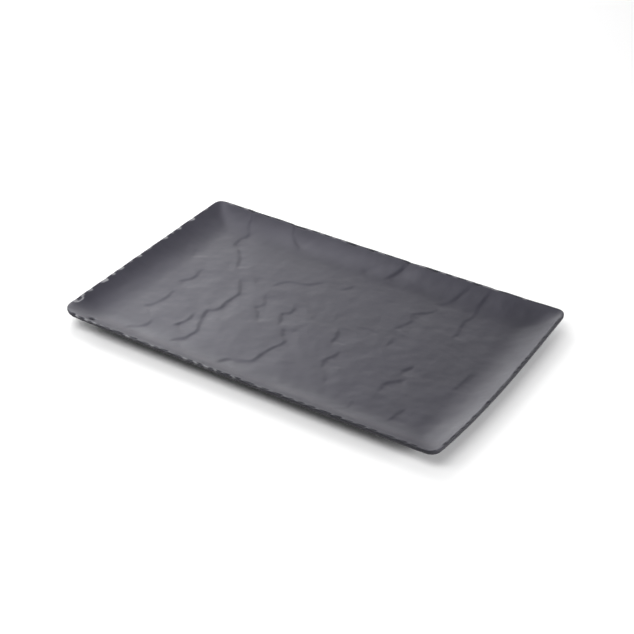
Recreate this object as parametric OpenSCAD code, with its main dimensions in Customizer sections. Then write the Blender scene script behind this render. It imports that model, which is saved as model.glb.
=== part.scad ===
// Rectangular serving plate with a slate-like face and a knapped rim, on four stick-on feet.
// Origin: centre of the plate on the surface that it stands on. X runs along the long side, Z points up.

/* [Plate] */
// Length over the rim
plate_l = 300; // [240:1:400]
// Width over the rim
plate_w = 190; // [150:1:280]
// Radius of the rim's corners, seen from above
corner_r = 7; // [5:0.5:18]
// Thickness of the floor and of the curved wall
shell_t = 3.4; // [2.6:0.1:5]
// How far the curved wall reaches in from the rim
wall_run = 28; // [22:1:34]
// Height of the rim above the floor
rim_rise = 9; // [6:0.5:13]

/* [Slate face] */
// Height of the tallest flake edge above the floor
flake_h = 0.8; // [0.4:0.1:1.4]
// How far a flake runs back before it dies out in the floor
flake_tail = 15; // [8:1:22]
// How far a flake's lower edges are sunk in the floor
flake_sink = 0.6; // [0.3:0.1:1.2]
// Share of a flake's height that is left at its two ends
flake_fade = 0.1; // [0.05:0.05:0.5]

/* [Knapped rim] */
// Distance along the rim from one chip to the next
chip_pitch = 8.5; // [7:0.5:16]
// Length of the longest chip along the rim
chip_l = 7; // [3:0.5:10]
// Width of the widest chip, across the rim
chip_w = 2.2; // [0.8:0.1:3]
// Depth of the deepest chip at the rim's outer face
chip_depth = 1.3; // [0.4:0.1:2]
// Size of the smallest chip, as a share of the largest
chip_least = 0.45; // [0.3:0.05:0.8]
// How far a chip may stray from its place, as a share of the pitch
chip_stray = 0.25; // [0:0.05:0.4]
// Largest turn of a chip to either side, seen from above, in degrees
chip_turn = 7; // [0:1:12]
// Largest tip of a chip along the rim, in degrees
chip_tip = 4; // [0:1:10]

/* [Feet] */
// Diameter of a foot
foot_d = 12; // [8:0.5:18]
// Height of a foot
foot_h = 2.4; // [1.6:0.1:4]
// Height of the bevel round a foot's lower edge
foot_bevel = 0.5; // [0.2:0.1:0.8]
// Distance from the foot of the wall to a foot's centre
foot_margin = 16; // [12:1:30]
// Depth of the recess that a foot sits in
recess_depth = 0.8; // [0.4:0.1:1.2]
// Gap all round between a foot and its recess
recess_clearance = 0.3; // [0.1:0.05:0.6]
// Thickness of the adhesive disc above a foot
adhesive_t = 0.2; // [0.1:0.05:0.3]
// How far the adhesive disc stays back from a foot's edge
adhesive_setback = 0.6; // [0.2:0.1:1.5]

/* [Hidden] */
$fn = 96;

slate_grey = [0.24, 0.24, 0.26];
rubber_black = [0.07, 0.07, 0.075];
adhesive_clear = [0.82, 0.81, 0.76];

// Heights above the surface that the plate stands on
foot_stand = foot_h + adhesive_t - recess_depth;
floor_z = foot_stand + shell_t;
rim_z = floor_z + rim_rise;

// The wall is an arc that starts level with the floor and ends at the rim
wall_r = (wall_run * wall_run + rim_rise * rim_rise) / (2 * rim_rise);
arc_z = floor_z + wall_r;

half_l = plate_l / 2;
half_w = plate_w / 2;
foot_x = half_l - wall_run - foot_margin;
foot_y = half_w - wall_run - foot_margin;

// How far a cutting shape reaches past the face that it cuts
cut_over = 1;
// Each flake is sunk this much deeper than the one before, so that no two lower faces lie in one plane
sink_step = 0.03;
// Step that spreads whole numbers evenly from 0 to 1
scatter_step = 0.618034;

// The floor that the flake edges below were drawn on, which they spread out from
drawn_half_l = 150;
drawn_half_w = 95;
// Direction, seen from above, in which a flake dies out
tail_dir = [-0.95, 0.31];

// Each flake: its share of the full height, then the points of its edge from the rear to the front
flakes = [
    [0.6, [[-117, 88], [-112, 80], [-109, 73]]],
    [0.6, [[-110, 64], [-108, 54], [-98, 46], [-93, 37], [-86, 27]]],
    [0.7, [[-109, 14], [-107, 5], [-108, -1], [-114, -10]]],
    [0.5, [[-109, -18], [-107, -30], [-109, -40], [-113, -48], [-109, -53]]],
    [0.6, [[-99, -57], [-97, -63], [-99, -70], [-105, -75], [-103, -83]]],
    [1.0, [[-78, 19], [-70, 7], [-66, 0], [-67, -14], [-66, -20], [-72, -29], [-70, -38],
           [-63, -54], [-65, -65], [-70, -73]]],
    [0.9, [[-78, -37], [-77, -46], [-80, -58]]],
    [0.7, [[-49, 9], [-44, -2], [-45, -6], [-41, -14], [-35, -21]]],
    [0.6, [[-22, 48], [-28, 42], [-42, 36], [-49, 30], [-50, 22]]],
    [0.8, [[-26, 11], [-22, 3], [-25, -3], [-21, -17]]],
    [0.9, [[-14, -18], [-11, -26], [-4, -32], [-6, -42], [-9, -57], [-12, -64], [-23, -69], [-29, -80]]],
    [0.7, [[18, 2], [22, -6], [23, -14], [27, -20]]],
    [0.8, [[34, -22], [34, -28], [31, -36], [35, -47]]],
    [0.5, [[18, 88], [14, 84], [13, 77]]],
    [0.4, [[-5, 58], [-6, 50], [-3, 44]]],
    [0.6, [[68, 79], [62, 68], [63, 55], [51, 46], [57, 33], [49, 21]]],
    [0.5, [[88, 87], [87, 80], [88, 73]]],
    [0.6, [[88, 64], [87, 56], [91, 42], [90, 35]]],
    [0.5, [[55, 17], [57, 6], [60, -2]]],
    [0.7, [[84, -11], [82, -16], [83, -22]]],
    [0.8, [[89, -26], [80, -36], [79, -42], [81, -50]]],
    [0.6, [[103, -57], [101, -63], [103, -71]]],
    [0.6, [[71, -64], [73, -73], [65, -84]]],
    [0.6, [[121, 6], [124, -8], [122, -22]]],
    [0.5, [[-80, 89], [-74, 83], [-69, 74]]]
];

// Height of the upper face at a point seen from above
function face_z(x, y) =
    let (
        inset = min(half_l - abs(x), half_w - abs(y)),
        climb = max(wall_run - inset, 0)
    )
    arc_z - sqrt(wall_r * wall_r - climb * climb);

// A fixed value from 0 to 1 for each whole number, spread evenly
function scatter(n) = n * scatter_step - floor(n * scatter_step);

// Section of the wall: x is the distance in from the rim, y is the height
module wall_section(reach) {
    intersection() {
        translate([wall_run, arc_z]) difference() {
            circle(r = wall_r + shell_t);
            circle(r = wall_r);
        }
        translate([0, foot_stand - cut_over]) square([reach, rim_rise + shell_t + cut_over]);
    }
}

// One straight wall along X, on the front side, ended by the corner at the rim and mitred inside it
module straight_wall(half_along, half_across) {
    intersection() {
        translate([-half_along, -half_across, 0]) rotate([90, 0, 90])
            linear_extrude(2 * half_along) wall_section(wall_run);
        linear_extrude(rim_z + cut_over) polygon([
            [-half_along + corner_r, -half_across],
            [half_along - corner_r, -half_across],
            [half_along - corner_r, -half_across + corner_r],
            [half_along - wall_run, -half_across + wall_run],
            [-half_along + wall_run, -half_across + wall_run],
            [-half_along + corner_r, -half_across + corner_r]
        ]);
    }
}

// The rounded corner of the wall, in the front right quarter
module corner_wall() {
    translate([half_l - corner_r, -half_w + corner_r, 0]) rotate([0, 0, -90])
        rotate_extrude(angle = 90) translate([corner_r, 0]) mirror([1, 0]) wall_section(corner_r);
}

// The plain shell: flat floor, four walls and four corners
module shell() {
    translate([-half_l + wall_run, -half_w + wall_run, foot_stand])
        cube([plate_l - 2 * wall_run, plate_w - 2 * wall_run, shell_t]);
    for (side = [0, 1]) {
        rotate([0, 0, 180 * side]) straight_wall(half_l, half_w);
        rotate([0, 0, 180 * side + 90]) straight_wall(half_w, half_l);
        rotate([0, 0, 180 * side]) corner_wall();
        rotate([0, 0, 180 * side]) mirror([1, 0, 0]) corner_wall();
    }
}

// One flake of the slate face: a wedge with a steep edge along its points and a tail that dies out
module flake(share, edge, sink) {
    last = len(edge) - 1;
    spread = [half_l / drawn_half_l, half_w / drawn_half_w];
    stations = [for (i = [0 : last])
        let (
            x = edge[i][0] * spread[0],
            y = edge[i][1] * spread[1],
            fade = (i == 0 || i == last) ? flake_fade : 1,
            tail_x = x + tail_dir[0] * flake_tail,
            tail_y = y + tail_dir[1] * flake_tail
        )
        each [
            [x, y, face_z(x, y) + flake_h * share * fade],
            [x, y, face_z(x, y) - sink],
            [tail_x, tail_y, face_z(tail_x, tail_y) - sink]
        ]
    ];
    sides = [for (i = [0 : last - 1], k = [0 : 2])
        let (a = 3 * i + k, b = 3 * i + (k + 1) % 3)
        each [[a, b, a + 3], [b, b + 3, a + 3]]
    ];
    polyhedron(stations, concat([[2, 1, 0]], sides, [[3 * last, 3 * last + 1, 3 * last + 2]]));
}

// The relief of the slate face, trimmed where it would run past the rim
module slate_relief() {
    for (i = [0 : len(flakes) - 1]) intersection() {
        translate([-half_l, -half_w, foot_stand]) cube([plate_l, plate_w, shell_t + rim_rise]);
        flake(flakes[i][0], flakes[i][1], flake_sink + sink_step * i);
    }
}

// Chips along one straight rim, on the front side: tilted blocks that bite into the rim's upper edge
module rim_chips(half_along, half_across, first) {
    run = 2 * (half_along - corner_r) - chip_l;
    count = floor(run / chip_pitch);
    for (i = [0 : count]) {
        pick = 2 * scatter(first + i) - 1;
        size = chip_least + (1 - chip_least) * scatter(3 * (first + i));
        tilt = atan2(chip_depth + rim_rise / wall_run * chip_w, chip_w);
        along = -run / 2 + (i + chip_stray * pick) * run / count;
        translate([along, -half_across, rim_z - chip_depth * size])
            rotate([tilt, chip_tip * pick, chip_turn * pick])
            translate([-chip_l * size / 2, -chip_w, 0])
            cube([chip_l * size, 4 * chip_w, 3 * chip_depth]);
    }
}

// The recess under the floor that takes a foot
module foot_recess(side_x, side_y) {
    translate([side_x * foot_x, side_y * foot_y, foot_stand - cut_over])
        cylinder(d = foot_d + 2 * recess_clearance, h = recess_depth + cut_over);
}

module plate_body() {
    color(slate_grey) difference() {
        union() {
            shell();
            slate_relief();
        }
        for (side_x = [-1, 1], side_y = [-1, 1]) foot_recess(side_x, side_y);
        for (side = [0, 1]) {
            rotate([0, 0, 180 * side]) rim_chips(half_l, half_w, 100 * side);
            rotate([0, 0, 180 * side + 90]) rim_chips(half_w, half_l, 200 + 100 * side);
        }
    }
}

// A soft foot, bevelled round its lower edge
module foot(side_x, side_y) {
    color(rubber_black) translate([side_x * foot_x, side_y * foot_y, 0]) {
        cylinder(d1 = foot_d - 2 * foot_bevel, d2 = foot_d, h = foot_bevel);
        translate([0, 0, foot_bevel]) cylinder(d = foot_d, h = foot_h - foot_bevel);
    }
}

// The disc of double-sided adhesive that holds a foot in its recess
module adhesive(side_x, side_y) {
    color(adhesive_clear) translate([side_x * foot_x, side_y * foot_y, foot_h])
        cylinder(d = foot_d - 2 * adhesive_setback, h = adhesive_t);
}

plate_body();
foot(-1, -1);  // foot_front_left
foot(1, -1);  // foot_front_right
foot(-1, 1);  // foot_rear_left
foot(1, 1);  // foot_rear_right
adhesive(-1, -1);  // adhesive_front_left
adhesive(1, -1);  // adhesive_front_right
adhesive(-1, 1);  // adhesive_rear_left
adhesive(1, 1);  // adhesive_rear_right
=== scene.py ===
# Slate-look rectangular plate with a knapped rim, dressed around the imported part. Metres throughout.
import math

import bmesh
import bpy
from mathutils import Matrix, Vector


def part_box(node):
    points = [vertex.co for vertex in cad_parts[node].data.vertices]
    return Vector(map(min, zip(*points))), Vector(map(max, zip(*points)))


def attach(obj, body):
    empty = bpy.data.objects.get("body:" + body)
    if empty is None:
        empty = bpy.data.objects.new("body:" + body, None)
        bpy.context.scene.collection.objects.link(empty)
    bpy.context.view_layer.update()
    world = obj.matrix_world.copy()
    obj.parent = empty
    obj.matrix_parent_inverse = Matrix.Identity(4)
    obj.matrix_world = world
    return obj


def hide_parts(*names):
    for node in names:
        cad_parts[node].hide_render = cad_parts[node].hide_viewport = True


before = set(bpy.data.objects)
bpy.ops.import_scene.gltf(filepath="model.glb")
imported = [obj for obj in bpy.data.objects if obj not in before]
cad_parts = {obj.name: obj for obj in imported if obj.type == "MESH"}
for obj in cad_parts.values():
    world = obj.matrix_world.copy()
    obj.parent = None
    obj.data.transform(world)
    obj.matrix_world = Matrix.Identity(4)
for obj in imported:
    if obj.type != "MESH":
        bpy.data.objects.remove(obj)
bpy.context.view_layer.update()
mm = 0.001
cornerNames = ["front_left", "front_right", "rear_left", "rear_right"]


# Small helpers for node trees
def feed(tree, slot, value):
    if isinstance(value, Field):
        tree.links.new(value.socket, slot)
    elif isinstance(value, bpy.types.NodeSocket):
        tree.links.new(value, slot)
    else:
        slot.default_value = value


def addNode(tree, kind, settings=None, inputs=None):
    node = tree.nodes.new(kind)
    for name, value in (settings or {}).items():
        setattr(node, name, value)
    for name, value in (inputs or {}).items():
        feed(tree, node.inputs[name], value)
    return node


class Field:  # a number that varies over the mesh, so that a shape rule reads as a sum
    def __init__(self, tree, socket):
        self.tree = tree
        self.socket = socket

    def calc(self, operation, *values):
        node = self.tree.nodes.new("ShaderNodeMath")
        node.operation = operation
        for slot, value in zip(node.inputs, values):
            feed(self.tree, slot, value)
        return Field(self.tree, node.outputs[0])

    def __add__(self, other):
        return self.calc("ADD", self, other)

    def __radd__(self, other):
        return self.calc("ADD", other, self)

    def __sub__(self, other):
        return self.calc("SUBTRACT", self, other)

    def __rsub__(self, other):
        return self.calc("SUBTRACT", other, self)

    def __mul__(self, other):
        return self.calc("MULTIPLY", self, other)

    def __rmul__(self, other):
        return self.calc("MULTIPLY", other, self)

    def __truediv__(self, other):
        return self.calc("DIVIDE", self, other)

    def __rtruediv__(self, other):
        return self.calc("DIVIDE", other, self)

    def __pow__(self, other):
        return self.calc("POWER", self, other)

    def root(self):
        return self.calc("SQRT", self)

    def size(self):
        return self.calc("ABSOLUTE", self)

    def sign(self):
        return self.calc("SIGN", self)

    def floor(self):
        return self.calc("FLOOR", self)

    def atLeast(self, other):
        return self.calc("MAXIMUM", self, other)

    def atMost(self, other):
        return self.calc("MINIMUM", self, other)

    def under(self, other):
        return self.calc("LESS_THAN", self, other)

    def over(self, other):
        return self.calc("GREATER_THAN", self, other)

    def ease(self, start, end):  # 0 before start, 1 after end, smooth between
        node = self.tree.nodes.new("ShaderNodeMapRange")
        node.interpolation_type = "SMOOTHSTEP"
        feed(self.tree, node.inputs["Value"], self)
        feed(self.tree, node.inputs["From Min"], start)
        feed(self.tree, node.inputs["From Max"], end)
        return Field(self.tree, node.outputs["Result"])

    def scatter(self):  # one fixed random number from 0 to 1 for each whole number
        node = addNode(self.tree, "ShaderNodeTexWhiteNoise", {"noise_dimensions": "1D"}, {"W": self})
        return Field(self.tree, node.outputs["Value"])


def splitXyz(tree, vector):
    node = addNode(tree, "ShaderNodeSeparateXYZ", None, {"Vector": vector})
    return [Field(tree, socket) for socket in node.outputs]


def joinXyz(tree, x, y, z):
    return addNode(tree, "ShaderNodeCombineXYZ", None, {"X": x, "Y": y, "Z": z}).outputs[0]


def noiseField(tree, vector, featureSize, detail):  # runs from about -1 to 1
    node = addNode(tree, "ShaderNodeTexNoise", None, {
        "Vector": vector, "Scale": 1 / featureSize, "Detail": detail})
    return Field(tree, node.outputs[0]) * 2 - 1


def newTree(name, values):  # a tree with one named input for each value
    kinds = {bpy.types.Object: "NodeSocketObject", bpy.types.Material: "NodeSocketMaterial"}
    tree = bpy.data.node_groups.new(name, "GeometryNodeTree")
    tree.is_modifier = True
    tree.interface.new_socket(name="Geometry", in_out="INPUT", socket_type="NodeSocketGeometry")
    for label, value in values.items():
        kind = kinds.get(type(value), "NodeSocketFloat")
        tree.interface.new_socket(name=label, in_out="INPUT", socket_type=kind)
    tree.interface.new_socket(name="Geometry", in_out="OUTPUT", socket_type="NodeSocketGeometry")
    return tree


def runTree(obj, tree, values):  # puts the tree on the object and makes its result a plain mesh
    modifier = obj.modifiers.new(tree.name, "NODES")
    modifier.node_group = tree
    for item in tree.interface.items_tree:
        if item.in_out == "INPUT" and item.name in values:
            modifier[item.identifier] = values[item.name]
    graph = bpy.context.evaluated_depsgraph_get()
    mesh = bpy.data.meshes.new_from_object(obj.evaluated_get(graph))
    obj.modifiers.remove(modifier)
    oldMesh = obj.data
    obj.data = mesh
    bpy.data.meshes.remove(oldMesh)
    mesh.name = obj.name
    return obj


def addObject(name, data):
    obj = bpy.data.objects.new(name, data)
    bpy.context.scene.collection.objects.link(obj)
    return obj


# Finishes: two effects that the materials share, then one material each
effects = {
    "cloudDetail": 4.0,
    "cloudRoughness": 0.6,
    "cloudEdges": (0.3, 0.7),  # noise values where a cloud starts and where it is full
    "speckDetail": 2.0,
    "speckEdges": (0.35, 0.65),
    "speckShare": 0.25,  # the rest of the change is cloud
    "toothDetail": 3.0,
    "pitReach": 0.35,
}


def newEffect(name, inputs, outputs):
    group = bpy.data.node_groups.new(name, "ShaderNodeTree")
    for label, kind in inputs.items():
        group.interface.new_socket(name=label, in_out="INPUT", socket_type=kind)
    for label, kind in outputs.items():
        group.interface.new_socket(name=label, in_out="OUTPUT", socket_type=kind)
    return group, group.nodes.new("NodeGroupInput"), group.nodes.new("NodeGroupOutput")


def mixTones(tree, share, first, second):  # a colour mix has its colours at inputs 6 and 7, and output 2
    mix = addNode(tree, "ShaderNodeMix", {"data_type": "RGBA"}, {"Factor": share})
    feed(tree, mix.inputs[6], first)
    feed(tree, mix.inputs[7], second)
    return mix.outputs[2]


def makeMottle():  # cloudy change between two tones, with small specks of the first
    group, given, result = newEffect(
        "mottle",
        {"Tone": "NodeSocketColor", "Second Tone": "NodeSocketColor",
         "Cloud Scale": "NodeSocketFloat", "Speck Scale": "NodeSocketFloat"},
        {"Color": "NodeSocketColor", "Cloud": "NodeSocketFloat"},
    )
    place = group.nodes.new("ShaderNodeTexCoord").outputs["Object"]
    cloud = addNode(group, "ShaderNodeTexNoise", None, {
        "Vector": place, "Scale": given.outputs["Cloud Scale"],
        "Detail": effects["cloudDetail"], "Roughness": effects["cloudRoughness"]})
    speck = addNode(group, "ShaderNodeTexNoise", None, {
        "Vector": place, "Scale": given.outputs["Speck Scale"], "Detail": effects["speckDetail"]})
    speckShare = effects["speckShare"]
    share = Field(group, cloud.outputs[0]).ease(*effects["cloudEdges"]) * (1 - speckShare)
    share = share + Field(group, speck.outputs[0]).ease(*effects["speckEdges"]) * speckShare
    tone = mixTones(group, share, given.outputs["Tone"], given.outputs["Second Tone"])
    feed(group, result.inputs["Color"], tone)
    feed(group, result.inputs["Cloud"], share)
    return group


def makeGrain():  # fine tooth of a moulded face, as a height
    group, given, result = newEffect(
        "grain",
        {"Grain Scale": "NodeSocketFloat", "Pit Scale": "NodeSocketFloat", "Pit Share": "NodeSocketFloat"},
        {"Height": "NodeSocketFloat"},
    )
    place = group.nodes.new("ShaderNodeTexCoord").outputs["Object"]
    tooth = addNode(group, "ShaderNodeTexNoise", None, {
        "Vector": place, "Scale": given.outputs["Grain Scale"], "Detail": effects["toothDetail"]})
    pits = addNode(group, "ShaderNodeTexVoronoi", None, {
        "Vector": place, "Scale": given.outputs["Pit Scale"]})
    pit = Field(group, pits.outputs["Distance"]).ease(0.0, effects["pitReach"])
    pitShare = Field(group, given.outputs["Pit Share"])
    feed(group, result.inputs["Height"], Field(group, tooth.outputs[0]) * (1 - pitShare) + pit * pitShare)
    return group


mottle = makeMottle()
grain = makeGrain()


def startMaterial(name, finish):
    tones = finish["tones"]
    scales = finish["scales"]
    bump = finish["bump"]
    material = bpy.data.materials.new(name)
    material.use_nodes = True
    tree = material.node_tree
    shader = tree.nodes["Principled BSDF"]
    cloud = addNode(tree, "ShaderNodeGroup", {"node_tree": mottle}, {
        "Tone": tones[0], "Second Tone": tones[1],
        "Cloud Scale": scales["cloud"], "Speck Scale": scales["speck"]})
    tooth = addNode(tree, "ShaderNodeGroup", {"node_tree": grain}, {
        "Grain Scale": scales["grain"], "Pit Scale": scales["pit"], "Pit Share": bump["pitShare"]})
    relief = addNode(tree, "ShaderNodeBump", None, {
        "Strength": bump["strength"], "Distance": bump["depth"], "Height": tooth.outputs["Height"]})
    tree.links.new(cloud.outputs["Color"], shader.inputs["Base Color"])
    tree.links.new(relief.outputs["Normal"], shader.inputs["Normal"])
    return material, tree, shader, cloud


slateFinish = {
    "tones": [(0.0135, 0.013, 0.019, 1.0), (0.019, 0.018, 0.026, 1.0)],  # cool grey with a purple cast
    "mirrorTint": (0.88, 0.865, 1.0, 1.0),
    "bareTone": (0.009, 0.009, 0.011, 1.0),  # painted shade on the edge and on the front, right and rear chips, which are also rough breaks
    "paleTone": (0.30, 0.30, 0.31, 1.0),  # painted highlight on the left chips, the rim streaks and the ring round the left mark
    "scales": {"cloud": 22.0, "speck": 900.0, "grain": 2600.0, "pit": 1500.0},
    "bump": {"strength": 0.25, "depth": 0.12 * mm, "pitShare": 0.25},
    "roughness": (0.40, 0.50),
    "bareRoughness": 0.65,
}


def makeSlate():
    finish = slateFinish
    material, tree, shader, cloud = startMaterial("slateFace", finish)
    colour = cloud.outputs["Color"]
    shadeAndGlint = {}
    # painted shade on the edge and most chips, and painted highlight on the left chips and rim streaks, each
    # from its own attribute
    for name in ("bare", "pale"):
        stored = addNode(tree, "ShaderNodeAttribute", {"attribute_name": name})
        shadeAndGlint[name] = Field(tree, stored.outputs["Fac"])
        colour = mixTones(tree, shadeAndGlint[name], colour, finish[name + "Tone"])
    tree.links.new(colour, shader.inputs["Base Color"])
    shader.inputs["Specular Tint"].default_value = finish["mirrorTint"]
    low, high = finish["roughness"]
    rough = Field(tree, cloud.outputs["Cloud"]) * (high - low) + low
    # the broken parts under the painted shade are also rougher
    rough = rough + (finish["bareRoughness"] - rough) * shadeAndGlint["bare"]
    feed(tree, shader.inputs["Roughness"], rough)
    return material


rubberFinish = {
    "tones": [(0.016, 0.016, 0.017, 1.0), (0.026, 0.026, 0.028, 1.0)],
    "scales": {"cloud": 240.0, "speck": 2400.0, "grain": 3200.0, "pit": 2200.0},
    "bump": {"strength": 0.35, "depth": 0.08 * mm, "pitShare": 0.5},
    "roughness": 0.78,
}

filmFinish = {
    "tones": [(0.60, 0.58, 0.50, 1.0), (0.70, 0.68, 0.60, 1.0)],
    "scales": {"cloud": 300.0, "speck": 1800.0, "grain": 2800.0, "pit": 1200.0},
    "bump": {"strength": 0.2, "depth": 0.03 * mm, "pitShare": 0.4},
    "roughness": 0.55,
}


def makePlain(name, finish):
    material, _, shader, _ = startMaterial(name, finish)
    shader.inputs["Roughness"].default_value = finish["roughness"]
    return material


slateFace = makeSlate()
footRubber = makePlain("footRubber", rubberFinish)
adhesiveFilm = makePlain("adhesiveFilm", filmFinish)
print("finishes ready")


# Plate: a flat closed blank, which the node tree then raises, roughens and chips
plateLow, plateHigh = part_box("plate_body")
footLow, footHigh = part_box("foot_rear_right")
plate = {
    "length": plateHigh.x - plateLow.x,
    "width": plateHigh.y - plateLow.y,
    "rimHeight": plateHigh.z,
    "baseHeight": plateLow.z,
    "wallRun": 28 * mm,
    "cornerRadius": 7 * mm,
    "wornRadius": 12 * mm,  # the front left corner is rounder
    "shell": 3.4 * mm,
    "lipRound": 0.45 * mm,
    "edgeShape": [  # share of the way down the edge, and mm in from the outline
        (0.05, 0.2), (0.12, 0.05), (0.22, 0.0), (0.4, 0.0), (0.6, 0.05), (0.75, 0.2), (0.88, 0.5), (1.0, 1.0),
    ],
    "edgeBlend": (0.15, 0.1),  # shares of the edge over which its painted shade starts and ends
    "edgeThin": 0.4 * mm,  # how much thinner the edge is than the floor
    "leftThin": 1.3 * mm,  # how much thinner it gets towards the left
    "thinFade": 8.0,  # higher keeps the thin part closer to the rim
    "rollDepth": 0.5 * mm,  # the last of the wall rolls over to the edge
    "rollWidth": 2.2 * mm,
    "mitre": 4.5,  # higher is a sharper inner corner
    "wornMitre": 2.3,  # the same for the front left corner
    "mitreFade": 4.0,  # higher keeps the soft mitre up to the rim
    "cornerLift": 0.7 * mm,  # the rim sags a little between its corners, except on the left
    "liftFade": 2.0,
    "sagEdges": (-0.5, 0.5),  # shares of the half length between which the end's own sag sets in
    "rightBow": 3.2 * mm,  # the right edge is slightly round, seen from above
    "bowLean": 0.6,  # the bow is fuller towards the front
    "bowShift": 0.3,  # share of the bow that the corners draw in
    "bowStart": 0.55,  # share of the half length
    "rightSkew": 0.5 * mm,
    "lipSteps": [0.35, 0.35, 0.35, 0.35, 0.4, 0.5, 0.6, 0.7, 0.9, 1.1],  # rows of the lip in mm, from the rim
    "wallStep": 1.2 * mm,
    "floorStep": 0.86 * mm,
    "underStride": 4,  # the underside keeps every fourth line
    "recessGap": 0.3 * mm,
    "recessDepth": 0.8 * mm,
    "recessSides": 72,
    "creaseAngle": 50,  # degrees, sharper turns are shaded crisp
}


def gridLines(half):  # places of the blank's lines along one axis, from -half to half
    rows = [0.0]
    for step in plate["lipSteps"]:
        rows.append(rows[-1] + step * mm)
    wallLeft = plate["wallRun"] - rows[-1]
    wallCount = round(wallLeft / plate["wallStep"])
    rows += [rows[-1] + wallLeft * (k + 1) / wallCount for k in range(wallCount)]
    floorHalf = half - plate["wallRun"]
    floorCount = round(2 * floorHalf / plate["floorStep"])
    floor = [-floorHalf + 2 * floorHalf * (k + 1) / floorCount for k in range(floorCount - 1)]
    return [row - half for row in rows] + floor + [half - row for row in reversed(rows)]


def makeBlank():
    halfX = plate["length"] / 2
    halfY = plate["width"] / 2
    xs = gridLines(halfX)
    ys = gridLines(halfY)
    lastX = len(xs) - 1
    lastY = len(ys) - 1
    places = []
    side = []  # 1 on the upper face, 0 on the underside
    inset = []  # how far in from the outline

    def addPoint(i, j, sideValue, insetValue):
        places.append((xs[i] / halfX, ys[j] / halfY, 0.0))
        side.append(sideValue)
        inset.append(insetValue)
        return len(places) - 1

    top = [[addPoint(i, j, 1.0, plate["lipRound"]) for j in range(lastY + 1)] for i in range(lastX + 1)]
    faces = []
    for i in range(lastX):
        for j in range(lastY):
            faces.append((top[i][j], top[i + 1][j], top[i + 1][j + 1], top[i][j + 1]))
    ring = [(i, 0) for i in range(lastX)] + [(lastX, j) for j in range(lastY)]
    ring += [(i, lastY) for i in range(lastX, 0, -1)] + [(0, j) for j in range(lastY, 0, -1)]
    rows = [[top[i][j] for i, j in ring]]
    for share, reach in plate["edgeShape"]:
        rows.append([addPoint(i, j, 1 - share, reach * mm) for i, j in ring])
    for upper, lower in zip(rows, rows[1:]):
        for k in range(len(ring)):
            after = (k + 1) % len(ring)
            faces.append((upper[k], lower[k], lower[after], upper[after]))
    under = {place: point for place, point in zip(ring, rows[-1])}

    def underPoint(i, j):
        if (i, j) not in under:
            under[i, j] = addPoint(i, j, 0.0, plate["edgeShape"][-1][1] * mm)
        return under[i, j]

    stride = plate["underStride"]
    colsKept = [0] + list(range(stride, lastX - 1, stride)) + [lastX]
    rowsKept = [0] + list(range(stride, lastY - 1, stride)) + [lastY]
    for i0, i1 in zip(colsKept, colsKept[1:]):
        for j0, j1 in zip(rowsKept, rowsKept[1:]):
            walk = [(i, j0) for i in range(i0, i1)] if j0 == 0 else [(i0, j0)]
            walk += [(i1, j) for j in range(j0, j1)] if i1 == lastX else [(i1, j0)]
            walk += [(i, j1) for i in range(i1, i0, -1)] if j1 == lastY else [(i1, j1)]
            walk += [(i0, j) for j in range(j1, j0, -1)] if i0 == 0 else [(i0, j1)]
            faces.append([underPoint(i, j) for i, j in reversed(walk)])
    mesh = bpy.data.meshes.new("plateBody")
    mesh.from_pydata(places, [], faces)
    for name, values in (("side", side), ("inset", inset)):
        mesh.attributes.new(name, "FLOAT", "POINT").data.foreach_set("value", values)
    return addObject("plateBody", mesh)


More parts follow.
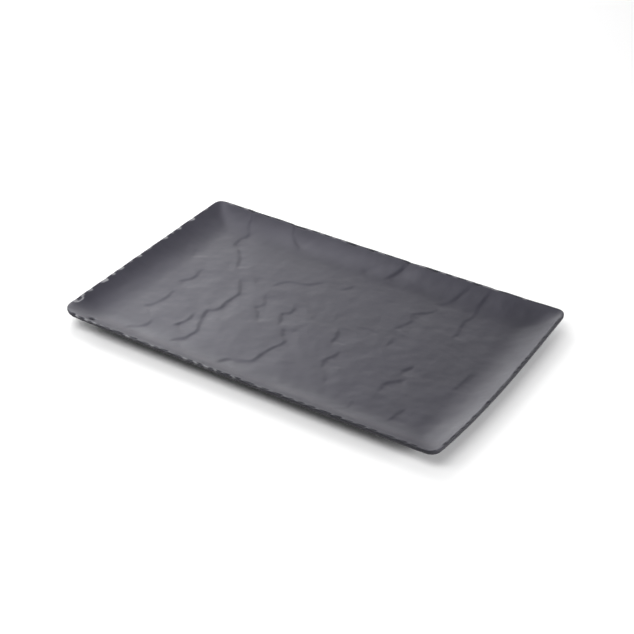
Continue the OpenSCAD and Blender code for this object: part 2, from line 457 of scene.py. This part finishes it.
# Slate relief: each ridge is a step that climbs slowly from the left and drops sharply on the right
ridges = {
    "height": 0.5 * mm,
    "profile": [  # mm across the ridge, from its upper side down to the toe and back, and share of the height
        (-5, 0.0), (-2, 0.06), (-0.6, 0.1), (0.2, 0.0), (0.8, -0.45), (1.4, -0.85), (2.0, -1.0),
        (4, -0.95), (7, -0.7), (10, -0.4), (13, -0.15), (16, 0.0),
    ],
    "fade": 7 * mm,  # each end dies out over this length
    "fadeShare": 0.4,  # but over no more than this share of a short line
    "spacing": 1.2 * mm,
    "wander": 1.2 * mm,
    "wanderSize": 5 * mm,
    "meanShare": 0.85,  # the height swings about this share of itself
    "swing": 0.5,
    "swingSize": 8 * mm,
    "lines": [  # share of the height, then points in mm from the plate's centre
        (0.9, [(-120, 103), (-117, 93), (-115, 84), (-111, 77), (-108, 72), (-110, 66), (-110, 60),
               (-109, 55), (-103, 52), (-98, 46), (-94, 40), (-90, 33), (-86, 27)]),
        (0.7, [(-131, 36), (-128, 30), (-124, 22)]),
        (1.0, [(-110, 16), (-107, 6), (-107, 1), (-110, -4), (-115, -11)]),
        (0.8, [(-109, -18), (-107, -30), (-108, -38), (-111, -45), (-113, -48), (-109, -53)]),
        (0.9, [(-99, -57), (-97, -63), (-99, -70), (-105, -75), (-105, -78), (-103, -83)]),
        (1.0, [(-78, 20), (-74, 13), (-69, 6), (-66, 0), (-67, -8), (-67, -15), (-66, -20), (-68, -25),
               (-72, -29), (-71, -35), (-69, -42), (-65, -50), (-63, -55), (-64, -62), (-66, -67),
               (-70, -72), (-69, -78)]),
        (1.3, [(-78, -35), (-77, -43), (-77, -48), (-79, -53), (-82, -60)]),
        (0.5, [(-71, 24), (-66, 20), (-61, 16)]),
        (0.7, [(-50, 11), (-46, 4), (-43, -2), (-46, -7), (-41, -12), (-38, -17), (-33, -24)]),
        (0.7, [(-20, 50), (-27, 43), (-33, 38), (-42, 36), (-47, 32), (-50, 28), (-51, 20)]),
        (0.8, [(-26, 12), (-22, 6), (-21, 1), (-25, -4), (-23, -9), (-21, -13), (-18, -20)]),
        (0.9, [(-15, -16), (-12, -23), (-9, -28), (-4, -32), (-6, -40), (-8, -48), (-9, -55), (-9, -60),
               (-11, -64), (-17, -67), (-23, -69), (-26, -73), (-29, -82)]),
        (0.8, [(17, 5), (22, -6), (23, -11), (23, -15), (27, -21)]),
        (0.8, [(33, -20), (34, -27), (32, -32), (31, -37), (33, -42), (36, -48)]),
        (1.3, [(25, 104), (20, 93), (18, 86), (14, 78), (12, 72)]),
        (0.5, [(1, 59), (-3, 52), (-8, 43)]),
        (0.6, [(-10, 77), (-4, 73), (2, 69)]),
        (0.7, [(78, 101), (72, 88), (69, 78), (66, 71), (58, 65)]),
        (0.7, [(65, 63), (62, 55), (54, 47), (53, 44), (56, 37), (55, 32), (50, 20)]),
        (0.8, [(92, 103), (89, 91), (88, 77), (90, 66), (88, 57), (89, 48), (91, 41), (90, 32)]),
        (0.5, [(54, 19), (57, 9), (57, 3), (60, -4)]),
        (0.4, [(49, 11), (37, 13), (26, 9)]),
        (0.3, [(7, 20), (9, 14), (12, 4)]),
        (0.8, [(87, -7), (83, -15), (82, -20), (84, -27)]),
        (0.8, [(90, -24), (84, -31), (80, -36), (79, -41), (81, -51)]),
        (0.7, [(106, -52), (103, -59), (102, -66), (101, -75)]),
        (0.5, [(71, -62), (72, -70), (72, -76), (68, -80), (64, -86)]),
        (0.6, [(121, 8), (121, -3), (120, -12), (119, -24)]),
        (0.6, [(126, 5), (126, -4), (125, -12), (124, -22)]),
        (1.2, [(-86, 102), (-79, 92), (-76, 86), (-69, 80), (-60, 73)]),
        (0.4, [(38, -47), (42, -54), (47, -62)]),
    ],
}


def makeRidgeCurve(name, lines):  # one polyline for each line, with its share as the radius
    curve = bpy.data.curves.new(name, "CURVE")
    curve.dimensions = "3D"
    for share, points in lines:
        spline = curve.splines.new("POLY")
        spline.points.add(len(points) - 1)
        for point, (x, y) in zip(spline.points, points):
            point.co = (x * mm, y * mm, 0.0, 1.0)
            point.radius = share
    return addObject(name, curve)


def ridgeSteps(tree, lines, profile, spacing, fade):  # sweeps the profile along each line, thin at both ends
    smooth = addNode(tree, "GeometryNodeCurveSplineType", {"spline_type": "CATMULL_ROM"}, {"Curve": lines})
    even = addNode(tree, "GeometryNodeResampleCurve", {"mode": "LENGTH"}, {
        "Curve": smooth.outputs[0], "Length": spacing})
    level = addNode(tree, "GeometryNodeSetCurveNormal", {"mode": "Z_UP"}, {"Curve": even.outputs[0]})
    along = Field(tree, addNode(tree, "GeometryNodeSplineParameter").outputs["Length"])
    total = Field(tree, addNode(tree, "GeometryNodeSplineLength").outputs["Length"])
    share = Field(tree, addNode(tree, "GeometryNodeInputRadius").outputs[0])
    place = addNode(tree, "GeometryNodeInputPosition").outputs[0]
    uneven = ridges["meanShare"] + ridges["swing"] * noiseField(tree, place, ridges["swingSize"], 1.0)
    fade = (total * ridges["fadeShare"]).atMost(fade)
    ends = along.ease(0.0, fade) * (total - along).ease(0.0, fade)
    rated = addNode(tree, "GeometryNodeStoreNamedAttribute", None, {
        "Geometry": level.outputs[0], "Name": "strength", "Value": share * ends * uneven})
    sweep = addNode(tree, "GeometryNodeCurveToMesh", None, {
        "Curve": rated.outputs[0], "Profile Curve": profile, "Scale": ends.root()})
    strength = addNode(tree, "GeometryNodeInputNamedAttribute", None, {"Name": "strength"})
    x, y, z = splitXyz(tree, place)
    scaled = addNode(tree, "GeometryNodeSetPosition", None, {
        "Geometry": sweep.outputs[0], "Position": joinXyz(tree, x, y, z * Field(tree, strength.outputs[0]))})
    return scaled.outputs[0]


# Knapped rim: chips off the upper edge, each wider towards one end, and a few larger marks beside it
chips = {
    "pitch": 11 * mm,
    "drift": 1.2,  # how far the stretches wander along the rim, as a share of the pitch
    "driftSize": 26 * mm,
    "width": 2.6 * mm,
    "narrowest": 0.45,  # share of the width that the narrowest chip has
    "narrowEnd": 0.4,  # share of its own width that a chip has at its narrow end
    "wideFrom": 0.9,  # share of its length from which a chip is at its widest
    "taper": (0.2, 0.85),  # shares of its length between which a chip has its full depth
    "ragged": 0.35 * mm,  # how uneven its inner line is
    "raggedSize": 1.6 * mm,
    "raggedStretch": 0.6,
    "slope": 1.4,  # fall of the steepest chip's inner side, for each unit of its width
    "gentlest": 0.75,  # share of that slope that the gentlest chip has
    "deepest": 0.65,  # place of that side's foot, as a share of the chip's width
    "walls": ["left", "front", "right", "rear"],  # the lists below have one number for each
    "pitchShare": [0.95, 0.85, 0.6, 1.3],
    "widthShare": [0.75, 1.0, 0.85, 0.75],
    "slopeShare": [0.6, 1.0, 1.0, 1.0],
    "share": [0.9, 1.0, 0.95, 0.9],  # how much of each wall is chipped
    "length": [0.6, 0.85, 0.9, 0.9],  # share of a stretch that its chip takes
    "open": [1.0, 1.8, 1.4, 0.3],  # depth at the very edge, as a share of the depth at the foot
    "bare": [0.0, 1.0, 1.0, 1.0],  # how much painted shade a chip has
    "pale": [1.0, 0.0, 0.0, 0.0],  # how much painted highlight a chip has
    "toneDepth": 0.6 * mm,  # a chip this deep has its full painted shade, and on the left its full painted highlight
    "streak": [0.0, 0.42, 0.0, 0.35],  # painted highlight on the rim at a chip's narrow end
    "streakWidth": 0.9 * mm,
    "streakSoft": 0.7,  # share of that width from which it dies out
    "streakEnd": (0.3, 0.45),  # shares of a chip's length between which it ends
    "streakShare": 0.6,  # how many chips have one
    "streakFade": (-0.2, 0.4),  # shares of the half length between which the front ones die out
    "strip": [0.0, 0.0, 1.9, 0.0],  # mm of the rim with painted shade all along
    "stripStray": 0.5 * mm,
    "stripBlend": 0.3 * mm,
    "roll": [0.4, 1.0, 1.0, 0.4],  # share of the roll towards the edge
    "cornerGap": 10 * mm,  # the corners are left smooth
    "cornerBlend": 2 * mm,
    "seed": 7,
    "marks": [  # wall, place along it and in from the rim, half length and half width, and depth, in mm
        ("front", -128.0, 7.6, 2.5, 2.3, 2.6),
        ("left", -76.5, 0.8, 5.5, 2.4, 0.5),
    ],
    "markStray": (0.5 * mm, 0.2 * mm),  # how far a mark's border strays along the rim and across it
    "ringOuter": (0.0, 0.1),  # shares of a mark's depth between which its painted highlight ring starts
    "ringInner": (0.45, 0.65),  # and ends
    "ringTone": 0.6,
}

swells = [  # height and size of the broad waves in the surface
    (0.22 * mm, 45 * mm),
    (0.26 * mm, 14 * mm),
    (0.08 * mm, 6 * mm),
]


def makePlateTree(values):
    tree = newTree("plateShape", values)
    given = tree.nodes.new("NodeGroupInput")
    result = tree.nodes.new("NodeGroupOutput")

    def value(name):
        return Field(tree, given.outputs[name])

    def attribute(name):
        return Field(tree, addNode(tree, "GeometryNodeInputNamedAttribute", None, {"Name": name}).outputs[0])

    halfL = value("Length") * 0.5
    halfW = value("Width") * 0.5
    position = addNode(tree, "GeometryNodeInputPosition").outputs[0]

    # outline: the blank's square corners become arcs, and the edge rows stand out to a round lip
    u, v, _ = splitXyz(tree, position)
    worn = u.under(0) * v.under(0)
    radius = value("Corner Radius") * (1 - worn) + value("Worn Radius") * worn
    inset = attribute("inset")
    reachX = u.size() * (halfL - inset)
    reachY = v.size() * (halfW - inset)
    overX = (reachX - halfL + radius).atLeast(0)
    overY = (reachY - halfW + radius).atLeast(0)
    squeeze = 1 - overX.atLeast(overY) / (overX * overX + overY * overY).root().atLeast(1e-9)
    planX = u.sign() * (reachX - overX * squeeze)
    planY = v.sign() * (reachY - overY * squeeze)
    outline = addNode(tree, "GeometryNodeSetPosition", None, {
        "Geometry": given.outputs["Geometry"], "Position": joinXyz(tree, planX, planY, 0.0)})

    # relief: rays on to the ridge ramps give each point its step
    x, y, _ = splitXyz(tree, position)
    wander = value("Ridge Wander")
    strayX = noiseField(tree, position, ridges["wanderSize"], 3.0) * wander
    strayY = noiseField(tree, joinXyz(tree, y, x, 0.3), ridges["wanderSize"], 3.0) * wander
    lines = addNode(tree, "GeometryNodeObjectInfo", None, {"Object": given.outputs["Ridge Lines"]})
    profile = addNode(tree, "GeometryNodeObjectInfo", None, {"Object": given.outputs["Ridge Profile"]})
    steps = ridgeSteps(tree, lines.outputs["Geometry"], profile.outputs["Geometry"],
                       value("Ridge Spacing"), value("Ridge Fade"))

    def hitHeight(direction):  # height of the first sheet that a ray meets, from above or from below
        clearOfSteps = -0.1 * direction
        ray = addNode(tree, "GeometryNodeRaycast", None, {
            "Target Geometry": steps,
            "Source Position": joinXyz(tree, x + strayX, y + strayY, clearOfSteps),
            "Ray Direction": (0.0, 0.0, direction), "Ray Length": 1.0})
        return splitXyz(tree, ray.outputs["Hit Position"])[2] * Field(tree, ray.outputs["Is Hit"])

    step = (hitHeight(-1.0).atLeast(0) + hitHeight(1.0).atMost(0)) * value("Ridge Height") / mm
    stepped = addNode(tree, "GeometryNodeStoreNamedAttribute", None, {
        "Geometry": outline.outputs[0], "Name": "step", "Value": step})
    blurred = addNode(tree, "GeometryNodeBlurAttribute", None, {
        "Value": attribute("step"), "Iterations": 1})
    relief = Field(tree, blurred.outputs[0])
    swell = sum(noiseField(tree, position, size, 1.0) * height for height, size in swells)

    # section: flat floor, then an arc up to the rim, with a soft mitre in the corners
    fromX = halfL - x.size()
    fromY = halfW - y.size()
    run = value("Wall Run")
    rise = value("Rim Height") - value("Base Height") - value("Shell")
    arc = (run * run + rise * rise) / (rise * 2)
    mitre = value("Mitre") * (1 - worn) + value("Worn Mitre") * worn
    climbX = (run - fromX).atLeast(0)
    climbY = (run - fromY).atLeast(0)
    cornerX = (x.size() - halfL + radius).atLeast(0)
    cornerY = (y.size() - halfW + radius).atLeast(0)
    around = (cornerX * cornerX + cornerY * cornerY).root()
    crisp = climbX.atLeast(climbY).atLeast((run - radius + around) * around.over(0))
    soft = (climbX ** mitre + climbY ** mitre + 1e-20) ** (1 / mitre)
    climb = crisp + (soft - crisp) * (1 - (crisp / run) ** plate["mitreFade"])
    centre = value("Base Height") + value("Shell") + arc
    upper = centre - (arc * arc - climb * climb).root()
    thick = arc + value("Shell")
    shareX = x / halfL
    shareY = y / halfW
    thin = value("Edge Thin") + value("Left Thin") * (0.5 - 0.5 * shareX)
    lower = centre - (thick * thick - climb * climb).root() + thin * (climb / run) ** plate["thinFade"]
    onRight = shareX.ease(*plate["sagEdges"])
    sag = shareX * shareX * (1 - (1 - shareY * shareY) * onRight) - 0.5
    lift = value("Corner Lift") * sag * (climb / run) ** plate["liftFade"]
    bulge = (1 - shareY * shareY) * (1 - plate["bowLean"] * shareY) - plate["bowShift"]
    bow = (value("Right Bow") * bulge - value("Right Skew") * shareY) * shareX.ease(plate["bowStart"], 1.0)

    # knapped rim: one chip to each stretch of the edge
    onEnd = fromX.under(fromY)
    along = y * onEnd + x * (1 - onEnd)
    across = (fromX * onEnd + fromY * (1 - onEnd)).atLeast(0)
    wall = x.over(0) * 2 * onEnd + (y.over(0) * 2 + 1) * (1 - onEnd)

    def onWall(number):
        return (wall - number).size().under(0.5)

    def perWall(amounts):
        return sum(amount * onWall(number) for number, amount in enumerate(amounts))

    def upFrom(lowest, share):  # the lowest amount at 0, and 1 at 1
        return lowest + (1 - lowest) * share

    def fullTone(depth):
        return (depth / chips["toneDepth"]).atMost(1.0)

    drift = noiseField(tree, joinXyz(tree, along, wall, 0.0), chips["driftSize"], 1.0)
    stretch = along / (value("Chip Pitch") * perWall(chips["pitchShare"])) + drift * chips["drift"]
    chipNumber = stretch.floor()
    part = (stretch - chipNumber) / perWall(chips["length"])
    key = chipNumber + wall * 100 + value("Seed") * 1000
    isThere = key.scatter()
    howWide = (key + 0.3).scatter()
    howSteep = (key + 0.6).scatter()
    isStreaked = (key + 0.8).scatter()
    raggedPlace = joinXyz(tree, along, across * chips["raggedStretch"], wall)
    ragged = noiseField(tree, raggedPlace, chips["raggedSize"], 2.0)
    halfSide = halfW * onEnd + halfL * (1 - onEnd)
    gap = value("Chip Corner Gap")
    clear = (halfSide - along.size()).ease(gap - chips["cornerBlend"], gap + chips["cornerBlend"])
    there = isThere.under(perWall(chips["share"])) * clear
    deepFrom, deepTo = chips["taper"]
    ends = part.ease(0.0, deepFrom) * (1 - part.ease(deepTo, 1.0))
    chipWidth = value("Chip Width") * perWall(chips["widthShare"]) * upFrom(chips["narrowest"], howWide)
    chipWidth = chipWidth * upFrom(chips["narrowEnd"], part.ease(0.0, chips["wideFrom"]))
    hair = 0.01 * mm  # the width is divided by below, so it is never quite nothing
    chipWidth = ((chipWidth + ragged * chips["ragged"]) * there * ends).atLeast(hair)
    chipSlope = value("Chip Slope") * perWall(chips["slopeShare"]) * upFrom(chips["gentlest"], howSteep)
    deepest = value("Chip Deepest")
    still = perWall(chips["open"])
    inside = (across - value("Lip Round")).atLeast(0)
    inward = (chipWidth - inside).atLeast(0) * chipSlope
    outward = chipSlope * chipWidth * (1 - deepest) * (still + (1 - still) * inside / (chipWidth * deepest))
    chipCut = inward.atMost(outward)
    # painted highlight on the left chips
    pale = perWall(chips["pale"])
    light = fullTone(chipCut) * pale
    strayAlong, strayAcross = chips["markStray"]
    for markWall, place, fromRim, halfLength, halfWidth, depth in chips["marks"]:
        offAlong = (along - place * mm + ragged * strayAlong) / (halfLength * mm)
        offAcross = (across - fromRim * mm + ragged * strayAcross) / (halfWidth * mm)
        bowl = (1 - offAlong * offAlong - offAcross * offAcross).atLeast(0)
        bowl = bowl * onWall(chips["walls"].index(markWall))
        chipCut = chipCut.atLeast(bowl * depth * mm)
        # a painted highlight ring round a mark on the left
        ring = bowl.ease(*chips["ringOuter"]) * (1 - bowl.ease(*chips["ringInner"]))
        light = light.atLeast(ring * pale * chips["ringTone"])
    rollOver = (1 - inside / value("Roll Width")).atLeast(0)
    rollCut = value("Roll Depth") * rollOver * rollOver * perWall(chips["roll"])

    # tone: painted shade on the edge and on most chips, and painted highlight on the left chips and the rim
    # streaks
    onTop = attribute("side")
    edgeStart, edgeEnd = plate["edgeBlend"]
    onEdge = (1 - onTop).ease(0.0, edgeStart) * onTop.ease(0.0, edgeEnd)
    # painted shade on the front, right and rear chips and in the front pit
    chipShade = fullTone(chipCut) * perWall(chips["bare"])
    # a strip of painted shade along the right rim
    strip = perWall(chips["strip"]) * mm
    past = inside + ragged * chips["stripStray"] - strip
    dark = (1 - past.ease(-chips["stripBlend"], 0.0)) * strip.over(0.0) * clear
    bare = onEdge.atLeast(chipShade.atLeast(dark) * onTop)
    # painted highlight streaks on the rim at the chips' narrow ends
    streak = (1 - (inside / chips["streakWidth"]).ease(chips["streakSoft"], 1.0)) * perWall(chips["streak"])
    streak = streak * (1 - part.ease(*chips["streakEnd"])) * clear * isStreaked.over(1 - chips["streakShare"])
    streak = streak * (1 - shareX.ease(*chips["streakFade"]) * y.under(0))
    marked = addNode(tree, "GeometryNodeStoreNamedAttribute", None, {
        "Geometry": stepped.outputs[0], "Name": "bare", "Value": bare})
    toned = addNode(tree, "GeometryNodeStoreNamedAttribute", None, {
        "Geometry": marked.outputs[0], "Name": "pale", "Value": light.atLeast(streak) * onTop})
    faceHeight = upper + relief + swell - chipCut.atLeast(rollCut)
    shaped = addNode(tree, "GeometryNodeSetPosition", None, {
        "Geometry": toned.outputs[0],
        "Position": joinXyz(tree, x + bow, y, lower + (faceHeight - lower) * onTop + lift)})

    # underside: a shallow round recess for each foot
    spots = addNode(tree, "GeometryNodeMeshGrid", None, {
        "Size X": value("Foot Span X"), "Size Y": value("Foot Span Y"), "Vertices X": 2, "Vertices Y": 2})
    plug = addNode(tree, "GeometryNodeMeshCylinder", None, {
        "Vertices": plate["recessSides"], "Radius": value("Recess Diameter") * 0.5,
        "Depth": value("Recess Depth") * 2})
    plugs = addNode(tree, "GeometryNodeInstanceOnPoints", None, {
        "Points": spots.outputs["Mesh"], "Instance": plug.outputs["Mesh"]})
    plugsPlaced = addNode(tree, "GeometryNodeTransform", None, {
        "Geometry": plugs.outputs[0], "Translation": joinXyz(tree, 0.0, 0.0, value("Base Height"))})
    solidPlugs = addNode(tree, "GeometryNodeRealizeInstances", None, {"Geometry": plugsPlaced.outputs[0]})
    cut = addNode(tree, "GeometryNodeMeshBoolean", {"operation": "DIFFERENCE", "solver": "MANIFOLD"}, {
        "Mesh 1": shaped.outputs[0], "Mesh 2": solidPlugs.outputs[0]})

    # smooth faces, crisp only where a recess or a chip turns a corner
    smooth = addNode(tree, "GeometryNodeSetShadeSmooth", {"domain": "FACE"}, {"Geometry": cut.outputs[0]})
    angle = Field(tree, addNode(tree, "GeometryNodeInputMeshEdgeAngle").outputs["Unsigned Angle"])
    crease = angle.over(math.radians(plate["creaseAngle"]))
    sharpened = addNode(tree, "GeometryNodeSetShadeSmooth", {"domain": "EDGE"}, {
        "Geometry": smooth.outputs[0], "Selection": crease, "Shade Smooth": False})
    real = addNode(tree, "GeometryNodeRealizeInstances", None, {"Geometry": sharpened.outputs[0]})
    coat = addNode(tree, "GeometryNodeSetMaterial", None, {
        "Geometry": real.outputs[0], "Material": given.outputs["Slate"]})
    tree.links.new(coat.outputs[0], result.inputs[0])
    return tree


ridgeLines = makeRidgeCurve("ridgeLines", ridges["lines"])
ridgeProfile = makeRidgeCurve("ridgeProfile", [
    (1.0, [(-across, -share) for across, share in ridges["profile"]]),
])
plateInputs = {
    "Length": plate["length"], "Width": plate["width"], "Rim Height": plate["rimHeight"],
    "Base Height": plate["baseHeight"], "Wall Run": plate["wallRun"], "Corner Radius": plate["cornerRadius"],
    "Worn Radius": plate["wornRadius"], "Shell": plate["shell"], "Lip Round": plate["lipRound"],
    "Mitre": plate["mitre"], "Worn Mitre": plate["wornMitre"], "Edge Thin": plate["edgeThin"],
    "Left Thin": plate["leftThin"], "Roll Depth": plate["rollDepth"], "Roll Width": plate["rollWidth"],
    "Corner Lift": plate["cornerLift"], "Right Bow": plate["rightBow"], "Right Skew": plate["rightSkew"],
    "Ridge Lines": ridgeLines, "Ridge Profile": ridgeProfile, "Ridge Height": ridges["height"],
    "Ridge Spacing": ridges["spacing"], "Ridge Fade": ridges["fade"], "Ridge Wander": ridges["wander"],
    "Chip Pitch": chips["pitch"], "Chip Width": chips["width"],
    "Chip Slope": chips["slope"], "Chip Deepest": chips["deepest"], "Chip Corner Gap": chips["cornerGap"],
    "Seed": float(chips["seed"]), "Recess Diameter": footHigh.x - footLow.x + 2 * plate["recessGap"],
    "Recess Depth": plate["recessDepth"], "Foot Span X": footHigh.x + footLow.x,
    "Foot Span Y": footHigh.y + footLow.y, "Slate": slateFace,
}
plateBody = makeBlank()
runTree(plateBody, makePlateTree(plateInputs), plateInputs)
bpy.data.objects.remove(ridgeLines)
bpy.data.objects.remove(ridgeProfile)
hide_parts("plate_body")
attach(plateBody, "root")
print("plate shaped:", len(plateBody.data.polygons), "faces")


# Feet: soft discs, turned from a profile, with a round lower edge and a shallow dish underneath
foot = {
    "edgeRound": 0.6 * mm,
    "dishWidth": 0.55,  # share of the radius
    "dishDepth": 0.25 * mm,
    "draft": 0.15 * mm,
    "draftMiddle": 0.6,  # share of the height where half the draft is reached
    "topChamfer": 0.1 * mm,
    "steps": 6,  # in the dish and in the round edge
    "around": 72,
}


def footProfile(radius, height):  # distance from the axis and height, from below round to the top
    bend = foot["edgeRound"]
    dish = radius * foot["dishWidth"]
    draft = foot["draft"]
    chamfer = foot["topChamfer"]
    shares = [(k + 1) / foot["steps"] for k in range(foot["steps"])]
    points = [(dish * share, foot["dishDepth"] * (1 - share ** 2)) for share in shares]
    points.append((radius - bend, 0.0))
    for share in shares:
        turn = math.radians(90 * share)
        points.append((radius - bend + bend * math.sin(turn), bend - bend * math.cos(turn)))
    points.append((radius - draft * 0.5, height * foot["draftMiddle"]))
    points.append((radius - draft, height - chamfer))
    points.append((radius - draft - chamfer, height))
    return points


def makeFoot(cornerName):
    node = "foot_" + cornerName
    low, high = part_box(node)
    profile = footProfile((high.x - low.x) / 2, high.z - low.z)
    form = bmesh.new()
    middleX = (low.x + high.x) / 2
    middleY = (low.y + high.y) / 2
    rings = []
    for radius, height in profile:
        ring = []
        for k in range(foot["around"]):
            turn = 2 * math.pi * k / foot["around"]
            ring.append(form.verts.new((
                middleX + radius * math.cos(turn), middleY + radius * math.sin(turn), low.z + height)))
        rings.append(ring)
    below = form.verts.new((middleX, middleY, low.z + foot["dishDepth"]))
    above = form.verts.new((middleX, middleY, high.z))
    for k in range(foot["around"]):
        after = (k + 1) % foot["around"]
        form.faces.new((below, rings[0][after], rings[0][k]))
        form.faces.new((above, rings[-1][k], rings[-1][after]))
        for inner, outer in zip(rings, rings[1:]):
            form.faces.new((inner[k], inner[after], outer[after], outer[k]))
    for face in form.faces:
        face.smooth = True
    mesh = bpy.data.meshes.new(node + "_pad")
    form.to_mesh(mesh)
    form.free()
    mesh.materials.append(footRubber)
    pad = addObject(mesh.name, mesh)
    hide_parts(node)
    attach(pad, "root")


for cornerName in cornerNames:
    makeFoot(cornerName)
    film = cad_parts["adhesive_" + cornerName]
    film.data.materials.clear()
    film.data.materials.append(adhesiveFilm)
print("feet and adhesive ready")


# Stage: white floor, soft lights on all sides, camera at the photograph's angle
stage = {
    "floorHalf": 4.0,
    "floorTone": (0.90, 0.90, 0.90, 1.0),
    "floorRoughness": 0.9,
    "world": 0.17,
    "lights": {  # degrees round from +X and up from the floor, metres away, metres wide, watts
        "keyLight": (150, 50, 0.55, 0.3, 1.04),
        "leftLight": (240, 50, 0.55, 0.3, 0.95),
        "frontLight": (270, 65, 1.2, 0.7, 5.4),
        "rightLight": (0, 9, 1.2, 0.7, 21.0),
        "rearLight": (120, 9, 1.2, 0.7, 3.2),
        "lowLight": (150, 9, 1.2, 0.7, 8.5),
        "backLight": (120, 35, 0.8, 0.8, 0.72),
        "highLight": (120, 55, 0.8, 0.8, 0.4),
        "sweepLight": (75, 25, 1.5, 0.7, 1.7),  # for the far part of the floor
    },
}


def makeFloor():
    half = stage["floorHalf"]
    mesh = bpy.data.meshes.new("studioFloor")
    corners = [(-half, -half, 0), (half, -half, 0), (half, half, 0), (-half, half, 0)]
    mesh.from_pydata(corners, [], [(0, 1, 2, 3)])
    material = bpy.data.materials.new("studioWhite")
    material.use_nodes = True
    shader = material.node_tree.nodes["Principled BSDF"]
    shader.inputs["Base Color"].default_value = stage["floorTone"]
    shader.inputs["Roughness"].default_value = stage["floorRoughness"]
    mesh.materials.append(material)
    addObject("studioFloor", mesh)


def makeLight(name, turn, rise, far, wide, power):
    lamp = bpy.data.lights.new(name, "AREA")
    lamp.shape = "SQUARE"
    lamp.size = wide
    lamp.energy = power
    light = addObject(name, lamp)
    turn = math.radians(turn)
    rise = math.radians(rise)
    flat = far * math.cos(rise)
    light.location = (flat * math.cos(turn), flat * math.sin(turn), far * math.sin(rise))
    light.rotation_euler = (-light.location).to_track_quat("-Z", "Y").to_euler()


def makeWorld():
    world = bpy.data.worlds.new("studioWorld")
    bpy.context.scene.world = world
    world.use_nodes = True
    sky = world.node_tree.nodes["Background"]
    sky.inputs["Color"].default_value = (1.0, 1.0, 1.0, 1.0)
    sky.inputs["Strength"].default_value = stage["world"]


view = {
    "azimuth": 32.84,  # degrees, the camera stands to the front right
    "elevation": 33.06,
    "place": (499.8 * mm, -770.9 * mm, 606.9 * mm),
    "lens": 89.03,  # millimetres, as the sensor is
    "sensor": 36.0,
    "clipStart": 0.05,
}


def makeCamera():
    lens = bpy.data.cameras.new("photoCamera")
    lens.sensor_width = view["sensor"]
    lens.lens = view["lens"]
    lens.clip_start = view["clipStart"]
    camera = addObject("photoCamera", lens)
    camera.location = view["place"]
    camera.rotation_euler = (math.radians(90 - view["elevation"]), 0.0, math.radians(view["azimuth"]))
    bpy.context.scene.camera = camera


makeFloor()
makeWorld()
for name, settings in stage["lights"].items():
    makeLight(name, *settings)
makeCamera()
bpy.context.scene.view_settings.view_transform = "Standard"
print("stage ready")
